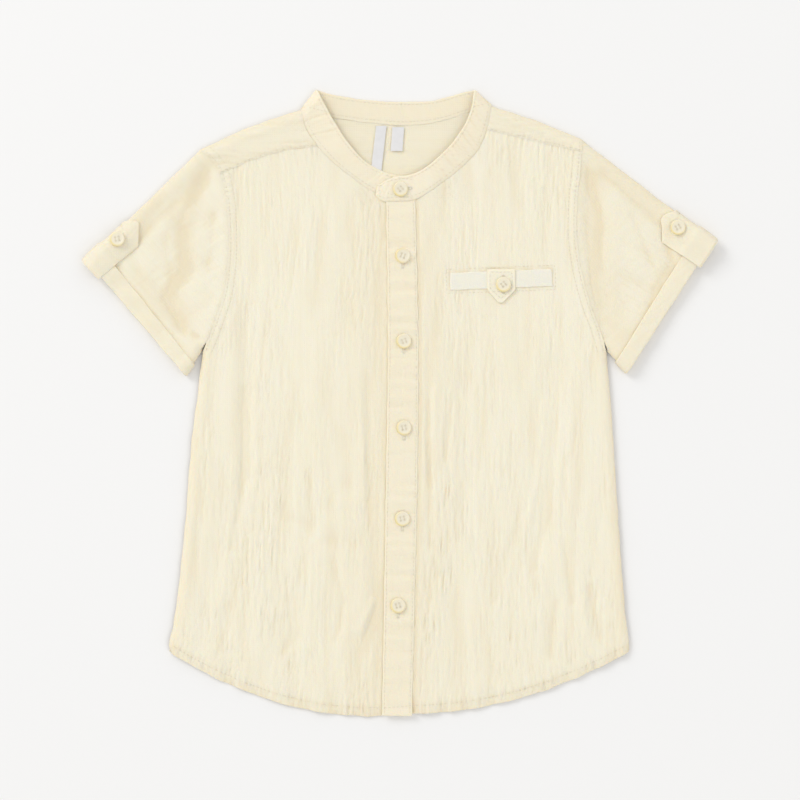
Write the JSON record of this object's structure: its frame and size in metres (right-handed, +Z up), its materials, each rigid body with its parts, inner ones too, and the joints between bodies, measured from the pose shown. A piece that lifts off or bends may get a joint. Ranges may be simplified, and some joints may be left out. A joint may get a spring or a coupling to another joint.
{
  "type": "mandarin collar shirt",
  "caption": "Child's short-sleeved mandarin collar shirt in cream crinkled double gauze, buttoned and laid flat, with tabbed cuffs and a welt breast pocket.",
  "frame": {"origin": "bottom centre of the shirt, on the surface it lies on", "axes": "+Z up off the surface, +Y up the shirt to the collar, +X the wearer's left"},
  "size_m": [0.4772, 0.4709, 0.0122],
  "materials": {
    "gauze": "crinkled cotton double gauze, cream",
    "gauze_trim": "doubled cotton gauze, cream, edge-stitched",
    "satin": "white satin ribbon, bare",
    "button": "pearly cream resin"
  },
  "bodies": {
    "root": {"back": "gauze", "yoke": "gauze", "front_right": "gauze", "front_left": "gauze", "placket": "gauze_trim", "collar": "gauze_trim", "sleeve_right": "gauze", "sleeve_left": "gauze", "cuff_right": "gauze_trim", "cuff_left": "gauze_trim", "sleeve_tab_right": "gauze_trim", "sleeve_tab_left": "gauze_trim", "pocket_welt": "gauze_trim", "pocket_tab": "gauze_trim", "label_long": "satin", "label_short": "satin", "button_collar": "button", "button_1": "button", "button_2": "button", "button_3": "button", "button_4": "button", "button_5": "button", "button_pocket": "button", "button_sleeve_right": "button", "button_sleeve_left": "button"}
  },
  "joints": []
}
